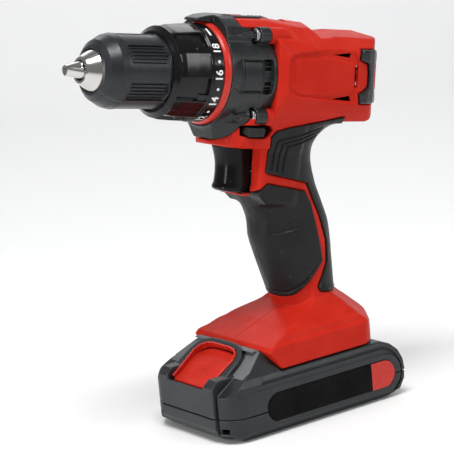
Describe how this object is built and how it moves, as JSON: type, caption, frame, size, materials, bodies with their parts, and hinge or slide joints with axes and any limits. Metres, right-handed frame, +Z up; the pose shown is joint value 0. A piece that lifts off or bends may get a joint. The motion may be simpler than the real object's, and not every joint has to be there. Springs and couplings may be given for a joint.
{
  "type": "cordless drill",
  "caption": "Pistol-grip cordless drill with keyless chuck, torque collar, planetary gearbox, trigger, selectors and a slide-out battery pack.",
  "frame": {"origin": "on the flat base of the battery pack, under the middle of the pack", "axes": "+Z up, nose and chuck towards -X, +Y to the tool's right side; the spindle is tilted 10 degrees nose-up in the XZ plane"},
  "size_m": [0.1871, 0.072, 0.2163],
  "materials": {
    "red_shell": "fine textured ABS, satin",
    "red_gloss": "smooth moulded",
    "grey_shell": "glass-filled nylon, satin",
    "light_grey_shell": "spark-textured",
    "grip_rubber": "soft matt overmould",
    "black_matte": "satin",
    "black_gloss": "polished",
    "chrome": "ground and plated",
    "steel": "turned",
    "gear_steel": "sintered, oiled",
    "brass": "machined",
    "copper": "enamelled wire",
    "magnet": "sintered ferrite",
    "case_plastic": "glass-filled nylon",
    "cell_wrap": "shrink wrap"
  },
  "bodies": {
    "housing": {"left_housing": "red_shell", "right_housing": "red_shell", "gear_housing": "grey_shell", "left_grip_pad": "grip_rubber", "right_grip_pad": "grip_rubber", "left_back_pad": "grip_rubber", "right_back_pad": "grip_rubber", "left_rear_bumper": "grey_shell", "right_rear_bumper": "grey_shell", "housing_screws": "steel", "gear_housing_screws": "steel", "motor_can": "steel", "motor_end_cap": "black_matte", "motor_magnets": "magnet", "carbon_brushes": "magnet", "ring_gear_1": "gear_steel", "ring_gear_2": "gear_steel", "gearbox_case": "case_plastic", "spindle_bush": "brass", "clutch_spring": "steel", "clutch_washer": "steel", "clutch_balls": "chrome", "trim_ring": "red_gloss", "trigger_spring": "steel", "switch_module": "black_matte", "terminal_block": "black_matte"},
    "rotor": {"armature": "copper", "motor_shaft": "steel", "commutator": "copper", "cooling_fan": "black_matte", "pinion": "brass"},
    "carrier_1": {"planet_carrier_1": "gear_steel"},
    "planet_1a": {"planet_gear_1a": "gear_steel"},
    "planet_1b": {"planet_gear_1b": "gear_steel"},
    "planet_1c": {"planet_gear_1c": "gear_steel"},
    "spindle_and_chuck": {"output_carrier": "gear_steel", "spindle": "steel", "chuck_body": "chrome", "chuck_screw": "steel"},
    "planet_2a": {"planet_gear_2a": "gear_steel"},
    "planet_2b": {"planet_gear_2b": "gear_steel"},
    "planet_2c": {"planet_gear_2c": "gear_steel"},
    "sleeve": {"chuck_sleeve": "black_matte", "chuck_nut": "steel"},
    "jaw_1": {"chuck_jaw_1": "chrome"},
    "jaw_2": {"chuck_jaw_2": "chrome"},
    "jaw_3": {"chuck_jaw_3": "chrome"},
    "collar": {"torque_collar": "black_gloss"},
    "nut": {"clutch_nut": "black_matte"},
    "speed_slider": {"speed_selector": "black_gloss"},
    "direction_slider": {"direction_selector": "black_gloss"},
    "trigger_body": {"trigger": "black_gloss"},
    "battery_pack": {"battery_lower_shell": "grey_shell", "battery_upper_shell": "light_grey_shell", "latch_spring": "steel", "battery_cells": "cell_wrap", "cell_holder": "black_matte", "battery_contacts": "brass", "battery_screws": "steel"},
    "latch": {"latch_button": "red_shell"}
  },
  "joints": [
    {"name": "rotor_spin", "type": "hinge", "parent": "housing", "child": "rotor", "pos_m": [0.01452, 0, 0.17873], "axis": [-0.9848, 0, 0.1736], "continuous": true},
    {"name": "carrier_1_spin", "type": "hinge", "parent": "housing", "child": "carrier_1", "pos_m": [-0.01994, 0, 0.1848], "axis": [-0.9848, 0, 0.1736], "continuous": true},
    {"name": "spindle_spin", "type": "hinge", "parent": "housing", "child": "spindle_and_chuck", "pos_m": [-0.05441, 0, 0.19088], "axis": [-0.9848, 0, 0.1736], "continuous": true},
    {"name": "planet_1a_spin", "type": "hinge", "parent": "carrier_1", "child": "planet_1a", "pos_m": [-0.01335, 0, 0.19339], "axis": [-0.9848, 0, 0.1736], "continuous": true},
    {"name": "planet_2a_spin", "type": "hinge", "parent": "spindle_and_chuck", "child": "planet_2a", "pos_m": [-0.0232, 0, 0.19513], "axis": [-0.9848, 0, 0.1736], "continuous": true},
    {"name": "planet_1b_spin", "type": "hinge", "parent": "carrier_1", "child": "planet_1b", "pos_m": [-0.01585, -0.00831, 0.17921], "axis": [-0.9848, 0, 0.1736], "continuous": true},
    {"name": "planet_2b_spin", "type": "hinge", "parent": "spindle_and_chuck", "child": "planet_2b", "pos_m": [-0.0257, -0.00831, 0.18094], "axis": [-0.9848, 0, 0.1736], "continuous": true},
    {"name": "planet_1c_spin", "type": "hinge", "parent": "carrier_1", "child": "planet_1c", "pos_m": [-0.01585, 0.00831, 0.17921], "axis": [-0.9848, 0, 0.1736], "continuous": true},
    {"name": "planet_2c_spin", "type": "hinge", "parent": "spindle_and_chuck", "child": "planet_2c", "pos_m": [-0.0257, 0.00831, 0.18094], "axis": [-0.9848, 0, 0.1736], "continuous": true},
    {"name": "sleeve_turn", "type": "hinge", "parent": "spindle_and_chuck", "child": "sleeve", "pos_m": [-0.07411, 0, 0.19435], "axis": [-0.9848, 0, 0.1736], "range_deg": [0, 2200]},
    {"name": "jaw_1_slide", "type": "slide", "parent": "spindle_and_chuck", "child": "jaw_1", "axis": [0.9962, 0, 0.0872], "range_m": [0, 0.0155]},
    {"name": "jaw_2_slide", "type": "slide", "parent": "spindle_and_chuck", "child": "jaw_2", "axis": [0.9288, -0.2241, -0.2952], "range_m": [0, 0.0155]},
    {"name": "jaw_3_slide", "type": "slide", "parent": "spindle_and_chuck", "child": "jaw_3", "axis": [0.9288, 0.2241, -0.2952], "range_m": [0, 0.0155]},
    {"name": "collar_turn", "type": "hinge", "parent": "housing", "child": "collar", "pos_m": [-0.04949, 0, 0.19001], "axis": [-0.9848, 0, 0.1736], "range_deg": [0, 305]},
    {"name": "clutch_nut_slide", "type": "slide", "parent": "housing", "child": "nut", "axis": [-0.9848, 0, 0.1736], "range_m": [0, 0.0022], "deforming": ["clutch_spring"]},
    {"name": "speed_slide", "type": "slide", "parent": "housing", "child": "speed_slider", "axis": [0.9848, 0, -0.1736], "range_m": [0, 0.01]},
    {"name": "direction_slide", "type": "slide", "parent": "housing", "child": "direction_slider", "axis": [0, 1, 0], "range_m": [-0.0025, 0.0025]},
    {"name": "trigger_pull", "type": "slide", "parent": "housing", "child": "trigger_body", "axis": [0.9848, 0, -0.1736], "range_m": [0, 0.006], "stiffness_N_per_m": 700, "springref_m": -0.003, "deforming": ["trigger_spring"]},
    {"name": "pack_slide", "type": "slide", "parent": "housing", "child": "battery_pack", "axis": [-1, 0, 0], "range_m": [0, 0.09]},
    {"name": "latch_press", "type": "slide", "parent": "battery_pack", "child": "latch", "axis": [0.5519, 0, -0.8339], "range_m": [0, 0.003], "stiffness_N_per_m": 600, "springref_m": -0.004, "deforming": ["latch_spring"]}
  ],
  "couplings": [
    {"joint": "carrier_1_spin", "follows": "rotor_spin", "ratio": 0.25},
    {"joint": "spindle_spin", "follows": "rotor_spin", "ratio": 0.0625},
    {"joint": "planet_1a_spin", "follows": "rotor_spin", "ratio": -0.75},
    {"joint": "planet_2a_spin", "follows": "rotor_spin", "ratio": -0.1875},
    {"joint": "planet_1b_spin", "follows": "rotor_spin", "ratio": -0.75},
    {"joint": "planet_2b_spin", "follows": "rotor_spin", "ratio": -0.1875},
    {"joint": "planet_1c_spin", "follows": "rotor_spin", "ratio": -0.75},
    {"joint": "planet_2c_spin", "follows": "rotor_spin", "ratio": -0.1875},
    {"joint": "jaw_1_slide", "follows": "sleeve_turn", "m_per_rad": 0.0004},
    {"joint": "jaw_2_slide", "follows": "sleeve_turn", "m_per_rad": 0.0004},
    {"joint": "jaw_3_slide", "follows": "sleeve_turn", "m_per_rad": 0.0004},
    {"joint": "clutch_nut_slide", "follows": "collar_turn", "m_per_rad": 0.0004}
  ]
}
